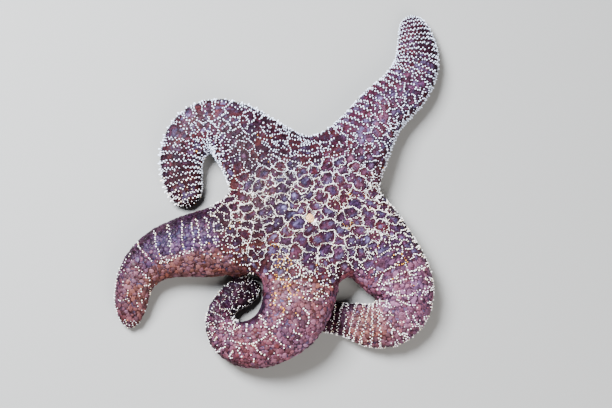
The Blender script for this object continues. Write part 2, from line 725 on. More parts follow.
smoothPoints, skinQuads = shapeSkin()
skinPoints, skinFields = raiseSkin(smoothPoints, skinQuads)
skin = writeMesh("skin", smoothPoints, skinQuads)
faceMiddles = unwrapSkin(skin)
skin.data.vertices.foreach_set("co", (skinPoints * mm).astype(np.float32).ravel())
skin.data.update()
skinTree = BVHTree.FromPolygons(skinPoints.tolist(), skinQuads.tolist())
skinNormals = vertexNormals(skinPoints, skinQuads)
print("skin:", len(skinQuads) * 2, "triangles,", np.ptp(skinPoints, axis=0).round(1), "mm")


# Where things grow. A root holds the place, the way out of the skin and the skin's face, -1 for none.
def rootRows(found):
    rows = [(*place, *normal, face) if place else (0,) * 6 + (-1,) for place, normal, face, _ in found]
    return np.array(rows).reshape(-1, 7)


def rootsFromAbove(flat):
    return rootRows([skinTree.ray_cast((x, y, 60), (0, 0, -1)) for x, y in flat])


def rootsFromBelow(flat):
    roots = rootRows([skinTree.ray_cast((x, y, -5), (0, 0, 1)) for x, y in flat])
    return roots[(roots[:, 6] >= 0) & (roots[:, 5] < 0)]


def rootsNearest(points, furthest):
    return rootRows([skinTree.find_nearest(point, furthest) for point in points])


def softRoots(wanted, room):
    # roots strewn over the wanted points of the skin, and the rows of those points
    rows = chance.permutation(np.nonzero(wanted)[0])
    rooms = np.full(len(rows), room) * chance.uniform(0.8, 1.25, len(rows))
    rows = rows[thinOut(skinPoints[rows], rooms)]
    faces = np.zeros(len(skinPoints), int)
    faces[skinQuads.ravel()] = np.repeat(np.arange(len(skinQuads)), 4)
    return rows, np.column_stack([skinPoints[rows], skinNormals[rows], faces[rows]])


growPlan = {
    "least": 0.05,  # nothing sinks lower towards the floor
    "rootColour": 0.45,  # height at which the colour of the root has given way to that of the tip
    "patchSize": 0.0015,  # half width of each thing's patch of the skin's map
    "patchTop": 0.2,  # how wide its last ring lies in the patch
}


def batchPoints(batch, heights, widths, sides):
    # rings of points, one above the other, round each root's own axis, then its tip
    roots, axis, along = batch["root"], batch["axis"], batch["along"]
    number, rings = len(roots), len(heights) - 1
    axis = axis / np.linalg.norm(axis, axis=1, keepdims=True)
    along = along - axis * (along * axis).sum(1, keepdims=True)
    along = along / np.maximum(np.linalg.norm(along, axis=1, keepdims=True), 1e-6)
    across = np.cross(axis, along)
    angle = np.arange(sides) / sides * 2 * math.pi
    lump = 1 + chance.normal(0, batch["rough"], (number, rings, sides))
    u = np.cos(angle)[None, None, :] * widths[None, :-1, None] * lump * batch["length"][:, None, None]
    v = np.sin(angle)[None, None, :] * widths[None, :-1, None] * lump * batch["width"][:, None, None]
    h = heights[None, :, None] * batch["height"][:, None, None]
    body = (roots[:, None, None, :] + u[..., None] * along[:, None, None, :]
            + v[..., None] * across[:, None, None, :] + h[:, :-1, :, None] * axis[:, None, None, :])
    tip = roots + h[:, -1] * axis
    points = np.concatenate([body.reshape(number, -1, 3), tip[:, None, :]], 1)
    points[..., 2] = np.maximum(points[..., 2], growPlan["least"])
    return points


def batchPatches(faces, rings, sides):
    # every thing's own patch of the skin's map, at the face it grows from
    angle = np.arange(sides) / sides * 2 * math.pi
    reach = np.repeat(1 - (1 - growPlan["patchTop"]) * np.linspace(0, 1, rings), sides)
    reach = np.concatenate([reach, [0]]) * growPlan["patchSize"]
    turn = np.concatenate([np.tile(angle, rings), [0]])
    patch = np.stack([np.cos(turn), np.sin(turn)], 1) * reach[:, None]
    return (faceMiddles[faces.astype(int)][:, None, :] + patch[None]).reshape(-1, 2)


def growBatch(name, batch, profile, sides, material):
    # Each thing is a ring profile of (height, width) raised on its own axis, closed by a tip.
    number, rings = len(batch["root"]), len(profile) - 1
    heights, widths = np.array(profile).T
    points = batchPoints(batch, heights, widths, sides)
    quads, fan = ringFaces(rings, sides)
    first = np.arange(number)[:, None, None] * (rings * sides + 1)
    quads, tris = (quads[None] + first).reshape(-1, 4), (fan[None] + first).reshape(-1, 3)
    piece = writeMesh(name, points.reshape(-1, 3), quads, tris)
    rise = np.repeat(smoothStep(0, growPlan["rootColour"], heights[:-1]), sides)
    rise = np.concatenate([rise, [1]])[None, :, None]
    tones = mixed(batch["rootTone"][:, None, :], batch["tipTone"][:, None, :], rise)
    paintPoints(piece, tones.reshape(-1, 3))
    mapPoints(piece, batchPatches(batch["face"], rings, sides), quads, tris)
    piece.data.materials.append(material)
    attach(piece, "root")
    print(name + ":", number, "grown,", len(quads) * 2 + len(tris), "triangles")


# Spines: fused into crests on the middle of the disc, and single beads further out
spinePlan = {
    "beadSpacing": 1.55,
    "fusedSpacing": 0.6,
    "beadSize": 0.4,
    "fusedSize": 0.215,
    "knuckle": 0.5,  # how much thicker a crest is where it meets others
    "crooked": 0.17,  # how far the middle of a crest strays from its line, as a share of its length
    "crookedQuarter": 0.6,  # how far its quarters stray, as a share of that
    "broken": 0.08,
    "height": 1.0,
    "spur": 0.2,  # share of the fused beads that bear a short side branch
    "stagger": 1.15,  # half the distance between the two files of a double row, of the bead's size
    "bandSpacing": 2.9,  # of the bead's size
    "webSpacing": 1.75,
    "webSize": 0.45,
    "webShortest": 0.35,  # where the shortest file ends, as a share of half the web
    "webRipples": ((9, 0.6), (23, 0.35)),  # waves and height
    "webMissing": 0.1,
    "fuzz": 380,  # the smallest beads, close beside the crests
    "fuzzReach": 1.0,
    "fuzzSizes": (0.18, 0.28),
    "loose": 420,  # small beads strewn in the cells
    "looseSizes": (0.22, 0.36),
    "star": (7.9, -12.8),
    "starArms": 7,
    "leastSpacing": 1.12,  # of the beads in a double row
    "marginSpacing": 2.5,
    "marginLeans": (0.9, 1.06, 1.22),
    "tipReach": 5,  # how far back from the end of an arm the small beads of its tip stand
    "tipRoom": 1.5,
    "tipSize": 0.27,
    "fringe": {"northWest": (3.1, 2.2, 0.62), "northEast": (2.4, 1.5, 0.5)},  # spacing, length and size
    "fringeLean": -0.97,
    "goldShare": 0.004,
    "goldSpots": (  # place from the mouth, radius and share of the spines
        (-17, -30, 4, 0.4), (-11, -38, 5, 0.4), (-10, -50, 8, 0.3), (-9, -62, 10, 0.4), (-6, -76, 6, 0.3),
        (28, 4, 4, 0.3), (28, -14, 3, 0.5), (60, -36, 6, 0.3),
    ),
}
spineProfile = [(-0.4, 0.95), (0.1, 0.9), (0.55, 1.0), (0.86, 0.74), (1.0, 0)]


def beadLine(start, end, spacing):
    # evenly spaced places along a line, and the line's direction
    length = np.linalg.norm(end - start)
    number = max(1, round(length / spacing))
    share = (np.arange(number) + 0.5) / number
    return start + (end - start) * share[:, None], np.tile((end - start) / max(length, 1e-6), (number, 1))


def beadPath(knots, spacing):
    # the same along a path of several knots
    knots = np.array(knots)
    legs = np.diff(knots, axis=0)
    reached = np.concatenate([[0], np.cumsum(np.linalg.norm(legs, axis=1))])
    number = max(1, round(reached[-1] / spacing))
    at = (np.arange(number) + 0.5) / number * reached[-1]
    spots = np.stack([np.interp(at, reached, knots[:, axis]) for axis in (0, 1)], 1)
    ways = legs[np.clip(np.searchsorted(reached, at) - 1, 0, len(legs) - 1)]
    return spots, ways / np.maximum(np.linalg.norm(ways, axis=1), 1e-6)[:, None]


def crookedPath(start, end):
    across = np.array([start[1] - end[1], end[0] - start[0]])
    share = spinePlan["crooked"]
    middle = (start + end) / 2 + across * chance.normal(0, share)
    share = share * spinePlan["crookedQuarter"]
    halves = ((start, middle), (middle, end))
    quarters = [(a + b) / 2 + across * chance.normal(0, share) for a, b in halves]
    return [start, quarters[0], middle, quarters[1], end]


def seedWeb():
    # files of beads that follow the corner between the northern arms, wavy and often broken
    plan, places, ways = spinePlan, [], []
    for radius in webRadii:
        low, high = (end * chance.uniform(plan["webShortest"], 1) for end in (-webHalf, webHalf))
        bearings = np.arange(low, high, plan["webSpacing"] / radius)
        bearings = bearings[chance.random(len(bearings)) > plan["webMissing"]]
        ripple = np.zeros(len(bearings))
        for waves, height in plan["webRipples"]:
            ripple += np.sin(bearings * waves + chance.uniform(0, 6)) * height
        ripple += chance.normal(0, 0.22, len(bearings))
        out = webWay(bearings)
        places.append(webEye + out * (radius + ripple)[:, None])
        ways.append(np.stack([out[:, 1], -out[:, 0]], 1))
    return np.vstack(places), np.vstack(ways)


# The beads of the disc are rows of place, way, size and share of fusion.
def crestBeads(start, end):
    # single beads on a line near the edge of the disc, or a crooked crest with spurs in its middle
    plan, rows = spinePlan, []
    share = float(fusedShare((start + end)[None] / 2)[0])
    spacing = mixed(plan["beadSpacing"], plan["fusedSpacing"], share)
    thick = chance.uniform(0.75, 1.3)
    spots, way = beadPath(crookedPath(start, end) if share > 0.5 else [start, end], spacing)
    spots = spots + chance.normal(0, 0.08 + 0.16 * (1 - share), spots.shape)
    size = plan["beadSize"] * (1 - share) + plan["fusedSize"] * share * thick
    ends = np.abs(np.linspace(-1, 1, len(spots))) ** 2 if len(spots) > 2 else np.ones(len(spots))
    for spot, direction, knuckle in zip(spots, way, ends * plan["knuckle"] * share):
        if chance.random() < plan["broken"]:
            continue
        rows.append((*spot, *direction, size * chance.normal(1, 0.16) * (0.9 + knuckle), share))
        if share > 0.5 and chance.random() < plan["spur"]:
            side = np.array([-direction[1], direction[0]]) * chance.choice([-1, 1])
            for step in range(1, chance.integers(2, 5)):
                place = spot + (side + direction * chance.normal(0, 0.3)) * step * 0.75
                rows.append((*place, *side, size * (0.95 - 0.13 * step), share))
    return rows


def starBeads():
    # short rays round the middle of the disc
    rows, rays = [], spinePlan["starArms"]
    for i in range(rays):
        angle = i / rays * 2 * math.pi + chance.normal(0, 0.12)
        way = np.array([math.cos(angle), math.sin(angle)])
        for step in range(3):
            place = np.array(spinePlan["star"]) + way * step * 0.95
            rows.append((*place, *way, 0.7 - 0.14 * step, 1))
    return rows


def looseBeads(rows):
    # the smallest beads, close beside the others, and those strewn in the cells
    plan, loose = spinePlan, []
    for spot in rows[chance.integers(0, len(rows), plan["fuzz"]), :2]:
        place = spot + chance.normal(0, plan["fuzzReach"], 2)
        loose.append((*place, 1, 0, chance.uniform(*plan["fuzzSizes"]), 0.7))
    for _ in range(plan["loose"]):
        angle, out = chance.uniform(0, 2 * math.pi), math.sqrt(chance.random()) * netPlan["discRadius"]
        place = np.array([math.cos(angle), math.sin(angle)]) * out
        loose.append((*place, 1, 0, chance.uniform(*plan["looseSizes"]), 0))
    return loose


def seedDisc():
    rows = []
    for start, end in discLines:
        ofWeb = inWeb((start + end)[None] / 2)[0]
        missing = 1 - netPlan["webLinks"] if ofWeb else netPlan["discMissing"]
        if chance.random() >= missing:
            rows += crestBeads(start, end)
    rows += starBeads()
    web, ways = seedWeb()
    sizes = chance.normal(spinePlan["webSize"], 0.07, len(web))
    rows = np.vstack([rows, np.column_stack([web, ways, sizes, np.zeros(len(web))])])
    rows = np.vstack([rows, looseBeads(rows)])
    roots = rootsFromAbove(rows[:, :2] + mouth)
    good = (roots[:, 6] >= 0) & (roots[:, 5] > 0.42)
    which, s, lean = chartOf(roots[:, :3])
    good &= s < bodyPlan["rootStation"] + 1
    good &= np.abs(lean) < reachOf(which, s, lean) + chance.normal(0, 0.06, len(s))
    along = np.column_stack([rows[:, 2:4], np.zeros(len(rows))])
    return roots[good], along[good], rows[good, 4], rows[good, 5]


def inBands(dress, s, lean):
    inside = np.zeros(len(s), bool)
    for start, end, _, inner, outer in dress["bands"]:
        inside |= (s > start) & (s < end) & (lean > inner) & (lean < outer)
    return inside


def bandBeads(arm, bands, sizes):
    # double rows across the arm, gently bent, whose two files are staggered
    places, ways = [np.zeros((0, 2))], [np.zeros((0, 2))]
    for start, end, pitch, inner, outer in bands:
        s = start + pitch / 2
        while s < end:
            girth, bead = float(backGirth(arm, s)), float(alongKnots(sizes, s))
            spacing = max(spinePlan["bandSpacing"] * bead, spinePlan["leastSpacing"])
            across = np.arange(inner * girth, outer * girth, spacing) + chance.uniform(0, 1)
            across = across[chance.random(len(across)) > 0.05]
            stagger = np.where(np.arange(len(across)) % 2, 1, -1) * spinePlan["stagger"] * bead
            bend = np.sin(across / chance.uniform(3, 5) + chance.uniform(0, 6)) * chance.uniform(0.1, 0.4)
            station = s + stagger + bend + chance.normal(0, 0.17, len(across))
            station = station + across * chance.normal(0, 0.03)
            places.append(np.stack([station, across], 1))
            ways.append(np.tile([0.0, 1.0], (len(across), 1)))
            s += pitch * chance.uniform(0.92, 1.08)
    return np.vstack(places), np.vstack(ways)


def rowWave(share):
    return np.sin(share * chance.uniform(4, 9) + chance.uniform(0, 6)) * chance.uniform(0.3, 0.9)


def loneBeads(index):
    # each row is a gently waving line of beads, set off in turn to either side
    arm, name = arms[index], armNames[index]
    rows, t = loneRows.get(name, {"rings": [], "trails": []}), np.linspace(0, 1, 9)
    lines = []
    for station, first, last, ahead, bow in rows["rings"]:
        s = station + ahead * (t - 0.5) + bow * np.sin(math.pi * t) + rowWave(t)
        lines.append((s, (first + (last - first) * t) * backGirth(arm, s)))
    for start, end, first, last in rows["trails"]:
        s = start + (end - start) * t
        lines.append((s, (first + (last - first) * t) * backGirth(arm, s) + rowWave(t)))
    places, ways = [np.zeros((0, 2))], [np.zeros((0, 2))]
    for s, across in lines:
        spots, way = beadPath(np.stack([s, across], 1), armDress[name]["lone"])
        stagger = np.where(np.arange(len(spots)) % 2, 1, -1)[:, None] * chance.choice([0.1, 0.4])
        there = chance.random(len(spots)) > 0.07
        spots = spots + stagger * way[:, ::-1] * [-1, 1] + chance.normal(0, 0.15, spots.shape)
        places.append(spots[there])
        ways.append(way[there])
    return np.vstack(places), np.vstack(ways)


def netBeads(arm, dress, lines):
    # the net of an arm outside its double rows
    places, ways = [], []
    for start, end in lines:
        keep = float(alongKnots(dress["keep"], start[0]))
        runsAlong = abs(end[0] - start[0]) > abs(end[1] - start[1]) * 1.1
        if chance.random() > (dress["links"] * keep if runsAlong else keep):
            continue
        spots, way = beadLine(start, end, dress["spacing"])
        places.append(spots + chance.normal(0, 0.17, spots.shape))
        ways.append(way)
    places, ways = np.vstack(places), np.vstack(ways)
    free = ~inBands(dress, places[:, 0], places[:, 1] / backGirth(arm, places[:, 0]))
    return places[free], ways[free]


def strewnBeads(arm, dress):
    # small beads between the rows. Most of those that fall in a double row are taken out of reach.
    number = dress["loose"]
    s = chance.uniform(bodyPlan["rootStation"], arm["length"], number)
    lean = chance.uniform(-1.1, 1.1, number)
    lean[inBands(dress, s, lean) & (chance.random(number) < 0.7)] = 9
    return np.stack([s, lean * backGirth(arm, s)], 1), np.tile([1.0, 0], (number, 1))


def seedArm(index):
    arm, dress = arms[index], armDress[armNames[index]]
    net, strewn = netBeads(arm, dress, armLines[index]), strewnBeads(arm, dress)
    lone, banded = loneBeads(index), bandBeads(arm, dress["bands"], dress["size"])
    places, ways = (np.vstack(parts) for parts in zip(lone, banded, net, strewn))
    number = len(places)
    bold = np.arange(number) < len(lone[0])
    small = np.arange(number) >= number - len(strewn[0])
    sizes = alongKnots(dress["size"], places[:, 0]) * chance.normal(1, 0.13, number)
    sizes[small] *= chance.uniform(0.55, 0.85, small.sum())
    s, lean = places[:, 0], places[:, 1] / backGirth(arm, places[:, 0])
    reach = sideReach(dress, s, lean)
    reach[small] *= 1.25
    good = (s < arm["length"] - 0.8) & (bold | (np.abs(lean) < reach + chance.normal(0, 0.06, number)))
    s, lean, ways, sizes, bold = s[good], lean[good], ways[good], sizes[good], bold[good]
    spots, step = armPoints(arm, s, lean), 0.5
    ahead = armPoints(arm, s + ways[:, 0] * step, lean + ways[:, 1] * step / backGirth(arm, s))
    roots = rootsNearest(spots, 5)
    # within the disc an arm's own beads stand only on its flanks
    inDisc = (s < bodyPlan["rootStation"] - 0.5) & ~bold
    kept = (roots[:, 6] >= 0) & ~(inDisc & ((roots[:, 5] > 0.45) | (np.abs(lean) < 0.5)))
    return roots[kept], (ahead - spots)[kept], sizes[kept], bold[kept]


def seedMargin(index):
    # rows of beads along both edges, only as far as the arm's reach comes down there
    arm, dress = arms[index], armDress[armNames[index]]
    rows = []
    for lean in spinePlan["marginLeans"]:
        for side in (-1, 1):
            s = np.arange(24, arm["length"] - 1, spinePlan["marginSpacing"]) + chance.uniform(0, 1)
            s = s + chance.normal(0, 0.25, len(s))
            s = s[(sideReach(dress, s, side) > lean) & (chance.random(len(s)) < 0.9)]
            rows.append((s, np.full(len(s), lean * side) + chance.normal(0, 0.015, len(s))))
    s, lean = (np.concatenate(parts) for parts in zip(*rows))
    roots = rootsNearest(armPoints(arm, s, lean), 6)
    good = (roots[:, 6] >= 0) & (roots[:, 5] < 0.6)
    return roots[good], (alongKnots(dress["size"], s) * chance.normal(1.02, 0.12, len(s)))[good]


def seedTips():
    # small beads all round the ends of the arms
    f = skinFields
    atTip = (f["s"] > armLengths[f["which"]] - spinePlan["tipReach"]) & (np.abs(f["lean"]) < 1.25)
    atTip &= skinNormals[:, 2] > -0.5
    return softRoots(atTip, spinePlan["tipRoom"])[1]


def seedFringe():
    # the longer spines that stand out from the outer edge of the northern arms
    found = []
    for name, (spacing, length, size) in spinePlan["fringe"].items():
        arm = arms[armNames.index(name)]
        s = np.arange(50, arm["length"] - 3, spacing)
        s = s + chance.normal(0, 0.25, len(s))
        roots = rootsNearest(armPoints(arm, s, spinePlan["fringeLean"] + chance.normal(0, 0.03, len(s))), 5)
        found.append(np.column_stack([roots, np.full(len(s), length), np.full(len(s), size)]))
    found = np.vstack(found)
    found = found[found[:, 6] >= 0]
    return found[:, :7], found[:, 7], found[:, 8]


def spineHeight(size):
    return spinePlan["height"] * (0.55 + 0.95 * size)


def spineGroup(roots, size, tall, room, along=(0, 0, 1.0), fused=0.0):
    # a value given once holds for every spine of the group
    group = {"root": roots, "along": np.full((len(roots), 3), along)}
    for key, value in (("size", size), ("tall", tall), ("room", room), ("fused", fused)):
        group[key] = np.full(len(roots), value)
    return group


def armGroups(seeded, inLoneRow, swell, spread):
    # the spines of the lone rows of every arm, or all their others
    groups = []
    for roots, along, size, bold in seeded:
        mine = bold == inLoneRow
        roots, along, size = roots[mine], along[mine], size[mine]
        room = np.maximum(spread * size, 0.6)
        groups.append(spineGroup(roots, size * swell, spineHeight(size), room, along))
    return groups


def gatherSpines():
    # every spine as one row, the most important first, then thinned where two would collide
    fringe, fringeLength, fringeSize = seedFringe()
    disc, along, size, fused = seedDisc()
    seeded = [seedArm(index) for index in range(len(arms))]
    groups = [spineGroup(fringe, fringeSize, fringeLength, 1.4)]
    groups += armGroups(seeded, True, 1.08, 2.1)
    groups.append(spineGroup(disc, size, spineHeight(size), 1.05 - 0.66 * fused, along, fused))
    groups += armGroups(seeded, False, 1, 2.35)
    for index in range(len(arms)):
        roots, size = seedMargin(index)
        groups.append(spineGroup(roots, size, spinePlan["height"] * 1.1, 1.25))
    tips = seedTips()
    size = spinePlan["tipSize"] * chance.normal(1, 0.12, len(tips))
    groups.append(spineGroup(tips, size, spinePlan["height"] * 0.8, 1.1))
    spines = {key: np.concatenate([group[key] for group in groups]) for key in groups[0]}
    kept = thinOut(spines["root"][:, :3], spines["room"])
    spines = {key: value[kept] for key, value in spines.items()}
    spines["which"], spines["s"], spines["lean"] = chartOf(spines["root"][:, :3])
    return spines


spines = gatherSpines()
print("spines:", len(spines["s"]))


# Colour of the skin: it drifts from cell to cell and from patch to patch, and is darkest round the spines
skinPaint = {
    "aroundSpine": 1.3,
    "ridgeEdge": (0.7, 1.8),  # gap from a ridge at which the dark edge of a cell starts and ends
    "ridgeShare": 0.85,
    "armRidgeLoss": 0.9,  # how much of that edge is gone out on the arms
    "darkShare": 0.93,
    "depth": 0.55,
    "redRims": 0.45,  # share of the cells that are edged in red-brown
    "cellVariety": 0.55,
    "patchRoom": 1.5,
    "patchLight": 0.42,
    "hazyShare": 0.3,  # share of the patches that are pale and bluish
    "speckle": 0.3,
    "bareTone": 0.7,  # the ground between pebbles, as a share of its tone
    "underEdge": (0.35, 0.65),
}


def spineDistance(points):
    tree = treeOf(spines["root"][:, :3])
    return np.array([tree.find(point)[2] for point in points])


def sparsely(f):
    # where wide pebbled ground shows between the rows of spines
    starts = np.array([armDress[name].get("pebbled", 999) for name in armNames])
    return f["s"] > starts[f["which"]]


def varied(tone, number, variety=skinPaint["cellVariety"]):
    # each number drifts to one of four neighbouring tones
    neighbours = np.array([toneOf(name) for name in ("slate", "rust", "plum", "mauve")])
    towards = neighbours[np.floor(np.abs(number) * 3.999).astype(int)]
    share = (np.abs(number * 7.31) % 1)[:, None] * variety
    levels = tone.mean(1, keepdims=True) / towards.mean(1, keepdims=True)
    return mixed(tone, towards * levels ** 0.75, share)


def patchNumbers():
    # which small patch each skin point lies in
    order = chance.permutation(len(skinPoints))
    middles = order[thinOut(skinPoints[order], np.full(len(order), skinPaint["patchRoom"]))]
    tree = treeOf(skinPoints[middles])
    return np.array([tree.find(point)[1] for point in skinPoints])


def mixTones():
    # the ground tone of every skin point, and the tone of the rim of the cell it lies in
    f, plan = skinFields, skinPaint
    cells, patch = f["cell"].max() + 1, patchNumbers()
    patches = patch.max() + 1
    ground = groundTone(f["which"], f["s"], f["lean"])
    ground = mixed(ground, toneOf("sand"), smoothStep(*plan["underEdge"], -skinNormals[:, 2:]))
    ground = varied(ground, chance.uniform(0, 1, cells)[f["cell"]])
    light = np.exp(chance.normal(0, plan["patchLight"], patches))[patch]
    hazy = (chance.random(patches) < plan["hazyShare"]) * chance.uniform(0.3, 0.9, patches)
    hazy = hazy[patch] * smoothStep(0.012, 0.035, ground.mean(1))
    ground = mixed(ground, toneOf("haze") * 0.8, hazy[:, None]) * light[:, None]
    red = (chance.random(cells) < plan["redRims"]) * chance.uniform(0.4, 1, cells)
    red = (red[f["cell"]] * smoothStep(0.008, 0.03, ground.mean(1)))[:, None]
    return ground * plan["depth"], mixed(toneOf("wine"), toneOf("rust") * plan["depth"], red)


groundTones, rimTones = mixTones()


def paintSkin():
    f, plan = skinFields, skinPaint
    near = np.exp(-(spineDistance(skinPoints) / plan["aroundSpine"]) ** 2)
    ridge = (1 - smoothStep(*plan["ridgeEdge"], f["gap"])) * f["covered"]
    ridge = ridge * (1 - plan["armRidgeLoss"] * pastRoot(f["s"], 6, 0))
    dark = (np.maximum(near, ridge * plan["ridgeShare"]) * plan["darkShare"])[:, None]
    ground = groundTones * (1 + chance.normal(0, plan["speckle"], (len(groundTones), 1))).clip(0.3, 2)
    bare = (sparsely(f) | (f["covered"] < 0.5)) & (np.abs(f["lean"]) < 1.3)
    ground = np.where(bare[:, None], ground * plan["bareTone"], ground)
    return mixed(ground, rimTones, dark)


# Materials
def newMaterial(name):
    material = bpy.data.materials.new(name)
    material.use_nodes = True
    tree = material.node_tree
    return material, tree.nodes, tree.links, tree.nodes["Principled BSDF"]


def addNoise(nodes, links, coordinates, scale, detail):
    # fine noise that lies in the piece's own space
    noise = nodes.new("ShaderNodeTexNoise")
    noise.inputs["Scale"].default_value = scale
    noise.inputs["Detail"].default_value = detail
    links.new(coordinates.outputs["Object"], noise.inputs["Vector"])
    return noise.outputs["Fac"]


def addRamp(nodes, links, value, low, high):
    ramp = nodes.new("ShaderNodeMapRange")
    ramp.inputs["To Min"].default_value = low
    ramp.inputs["To Max"].default_value = high
    ramp.inputs["From Min"].default_value = 0.3
    ramp.inputs["From Max"].default_value = 0.7
    links.new(value, ramp.inputs["Value"])
    return ramp.outputs["Result"]


def addBump(nodes, links, height, strength, distance):
    bump = nodes.new("ShaderNodeBump")
    bump.inputs["Strength"].default_value = strength
    bump.inputs["Distance"].default_value = distance * mm
    links.new(height, bump.inputs["Height"])
    return bump.outputs["Normal"]


def toneMaterial(name, look):
    # the painted tone, mottled and roughened by fine noise
    material, nodes, links, shader = newMaterial(name)
    coordinates = nodes.new("ShaderNodeTexCoord")
    tone = nodes.new("ShaderNodeVertexColor")
    tone.layer_name = "tone"
    mottle = addNoise(nodes, links, coordinates, look["mottleScale"], 4)
    mottle = addRamp(nodes, links, mottle, 1 - look["mottle"], 1 + look["mottle"])
    scaled = nodes.new("ShaderNodeVectorMath")
    scaled.operation = "SCALE"
    links.new(tone.outputs["Color"], scaled.inputs[0])
    links.new(mottle, scaled.inputs["Scale"])
    links.new(scaled.outputs["Vector"], shader.inputs["Base Color"])
    rough = addNoise(nodes, links, coordinates, look["roughScale"], 3)
    links.new(addRamp(nodes, links, rough, *look["roughness"]), shader.inputs["Roughness"])
    grain = addNoise(nodes, links, coordinates, look["grainScale"], 5)
    links.new(addBump(nodes, links, grain, look["grain"], look["grainHeight"]), shader.inputs["Normal"])
    shader.inputs["Coat Weight"].default_value = look["wet"]
    shader.inputs["Coat Roughness"].default_value = look["wetRoughness"]
    shader.inputs["Specular IOR Level"].default_value = look["gloss"]
    return material


skinLook = {
    "mottleScale": 900, "mottle": 0.4, "roughScale": 500, "roughness": (0.4, 0.6),
    "grainScale": 1600, "grain": 0.6, "grainHeight": 0.2, "gloss": 0.04, "wet": 0.0, "wetRoughness": 0.25,
}
gillLook = {
    "mottleScale": 1400, "mottle": 0.4, "roughScale": 500, "roughness": (0.3, 0.5),
    "grainScale": 2400, "grain": 0.4, "grainHeight": 0.1, "gloss": 0.05, "wet": 0.02, "wetRoughness": 0.15,
}
spineLook = {
    "mottleScale": 1500, "mottle": 0.08, "roughScale": 900, "roughness": (0.35, 0.55),
    "grainScale": 2500, "grain": 0.4, "grainHeight": 0.08, "gloss": 0.4, "wet": 0.1, "wetRoughness": 0.2,
}
skinMaterial = toneMaterial("wetSkin", skinLook)
gillMaterial = toneMaterial("wetGill", gillLook)
spineMaterial = toneMaterial("limySpine", spineLook)

paintPoints(skin, paintSkin())
skin.data.materials.append(skinMaterial)
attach(skin, "root")
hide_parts(*[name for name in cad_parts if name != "sieve_plate"])


# The spines, paler towards the north, with a few golden ones
spinePaint = {
    "northEdge": (0, 40),
    "creamShare": 0.2,
    "unevenTone": 0.05,
    "unevenAxis": 0.1,
    "fusedLength": 0.3,  # how much longer a fused bead is along its crest
    "fusedWidth": 0.12,  # and how much narrower
}


def growSpines():
    plan, roots, number = spinePaint, spines["root"], len(spines["s"])
    normal = roots[:, 3:6]
    axis = normal + chance.normal(0, plan["unevenAxis"], normal.shape)
    fused = spines["fused"]
    gold = chance.random(number) < spinePlan["goldShare"]
    for x, y, radius, share in spinePlan["goldSpots"]:
        near = np.hypot(roots[:, 0] - mouth[0] - x, roots[:, 1] - mouth[1] - y) < radius
        gold |= near & (chance.random(number) < share)
    north = smoothStep(*plan["northEdge"], roots[:, 1] - mouth[1])[:, None]
    tip = mixed(toneOf("bone"), toneOf("ice"), north) * chance.normal(1, plan["unevenTone"], (number, 1))
    tip = np.where(chance.random((number, 1)) < plan["creamShare"] * (1 - north), toneOf("cream"), tip)
    tip = np.where(gold[:, None], toneOf("gold"), tip)
    batch = {
        "root": roots[:, :3], "axis": axis, "along": spines["along"], "face": roots[:, 6],
        "length": spines["size"] * (1 + plan["fusedLength"] * fused),
        "width": spines["size"] * (1 - plan["fusedWidth"] * fused),
        "height": spines["tall"] * chance.normal(1, 0.1, number), "rough": 0.06,
        "rootTone": mixed(toneOf("plum"), tip, 0.5), "tipTone": tip,
    }
    inDisc = spines["s"] < bodyPlan["rootStation"]
    groups = {"crestSpines": inDisc & (fused > 0.5), "discSpines": inDisc & (fused <= 0.5)}
    for index, name in enumerate(armNames):
        groups[name + "Spines"] = ~inDisc & (spines["which"] == index)
    for name, mine in groups.items():
        part = {key: value if key == "rough" else value[mine] for key, value in batch.items()}
        growBatch(name, part, spineProfile, 8, spineMaterial)


growSpines()


# Small soft things on the skin: gills in the cells, and the pebbles of the bare flanks
softPlan = {
    "gillRoom": 1.15,
    "gillSize": 0.42,
    "gillHeight": 0.7,
    "gillFromSpine": 0.7,
    "pebbleRoom": 2.3,
    "pebbleSize": 1.74,
    "pebbleHeight": 0.42,
    "pebbleVariety": 0.3,
    "fieldVariety": 0.45,
    "grainRoom": 1.5,  # the finer grains that fill the gaps between the pebbles
    "grainSize": 0.75,
    "grainHeight": 0.3,
    "brightness": (0.38, 1.4),
    "smoothLip": ("south", 60, 114, -0.62),  # the arm, the stations and the lean of its bare lip
}
gillProfile = [(-0.5, 1.0), (0.35, 0.95), (1.0, 0)]
pebbleProfile = [(-0.6, 1.0), (0.1, 0.98), (0.5, 0.86), (0.85, 0.5), (1.0, 0)]


def growSoft(name, roots, tone, size, height, profile, sides, rootDark, rough=0.08):
    number = len(roots)
    along = np.cross(roots[:, 3:6], chance.normal(0, 1, (number, 3)))
    length = size * chance.uniform(0.7, 1.25, number)
    batch = {
        "root": roots[:, :3], "axis": roots[:, 3:6] + chance.normal(0, 0.08, (number, 3)), "along": along,
        "face": roots[:, 6], "length": length, "width": length * chance.uniform(0.6, 1, number),
        "height": height * chance.uniform(0.7, 1.25, number), "rough": rough,
        "rootTone": mixed(tone, toneOf("wine"), rootDark), "tipTone": tone,
    }
    growBatch(name, batch, profile, sides, gillMaterial)


def growGills():
    f, plan = skinFields, softPlan
    above = (np.abs(f["lean"]) < 1.2) & (f["covered"] > 0.5) & ~sparsely(f)
    rows, roots = softRoots(above, plan["gillRoom"])
    distance = spineDistance(roots[:, :3])
    clear = distance > plan["gillFromSpine"]
    rows, roots, distance = rows[clear], roots[clear], distance[clear]
    tone = groundTones[rows] * chance.uniform(0.7, 1.45, (len(rows), 1))
    edge = (1 - smoothStep(0.9, 2.1, distance))[:, None] * 0.9
    tone = tone * (1 - edge) + rimTones[rows] * edge * chance.uniform(0.6, 1.6, (len(rows), 1))
    north = roots[:, 1] > mouth[1]
    for name, mine in (("northGills", north), ("southGills", ~north)):
        growSoft(name, roots[mine], tone[mine], plan["gillSize"], plan["gillHeight"], gillProfile, 5, 0.6)


